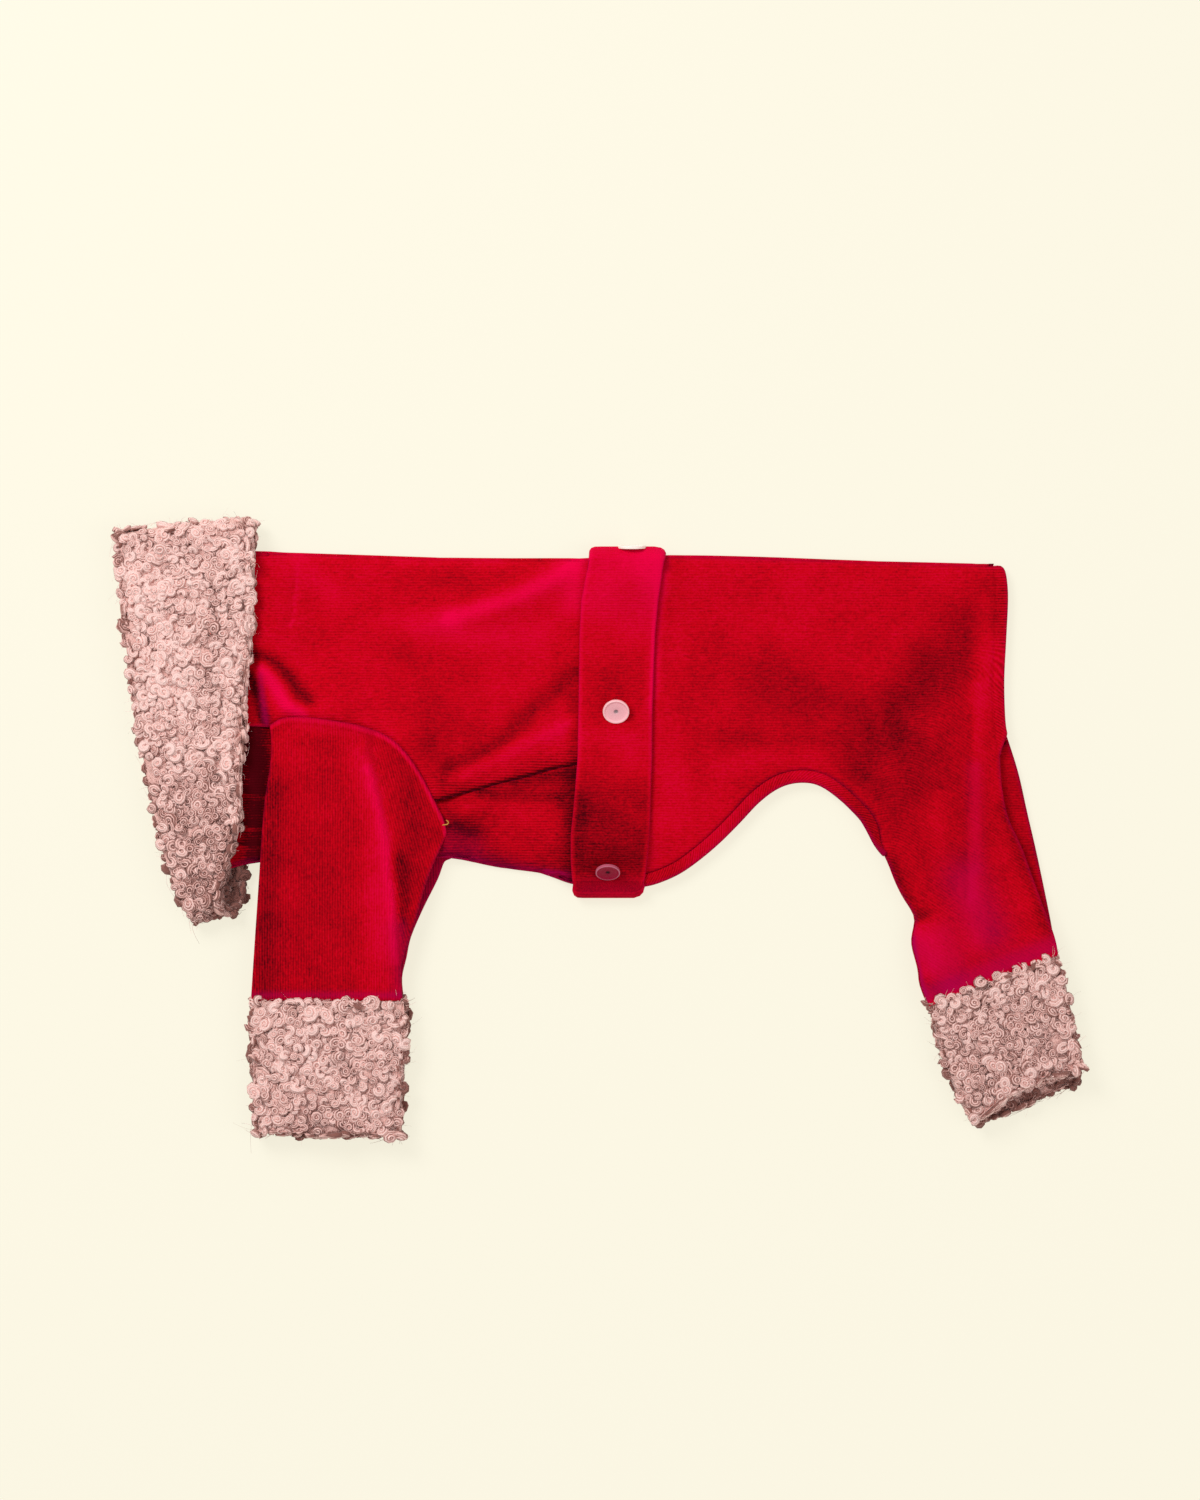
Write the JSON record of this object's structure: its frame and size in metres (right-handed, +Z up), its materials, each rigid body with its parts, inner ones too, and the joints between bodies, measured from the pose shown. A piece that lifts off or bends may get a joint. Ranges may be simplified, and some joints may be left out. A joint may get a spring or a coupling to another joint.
{
  "type": "dog onesie pajama",
  "caption": "Small dog's onesie pajama in red velour with a turned-over pink boucle collar, boucle cuffs and a snapped belt, lying flat on its side.",
  "frame": {"origin": "centre of the bounding box, on the surface that the garment lies on", "axes": "+X from the collar towards the tail, +Y from the feet towards the back, +Z up from the surface"},
  "size_m": [0.4885, 0.311, 0.0181],
  "materials": {
    "velour": "knitted cotton velour with a short pile and a soft sheen",
    "boucle": "matte curled boucle loops",
    "resin": "smooth moulded resin"
  },
  "bodies": {
    "root": {"back_panel": "velour", "belly_panel": "velour", "inner_leg_near": "velour", "inner_leg_far": "velour", "sleeve_near": "velour", "sleeve_far": "velour", "belt": "velour", "belly_hem_near": "velour", "belly_hem_far": "velour", "cuff_front_near": "boucle", "cuff_front_far": "boucle", "cuff_hind_near": "boucle", "cuff_hind_far": "boucle", "collar": "boucle", "snap_middle": "resin", "snap_lower": "resin", "snap_top": "resin"}
  },
  "joints": []
}
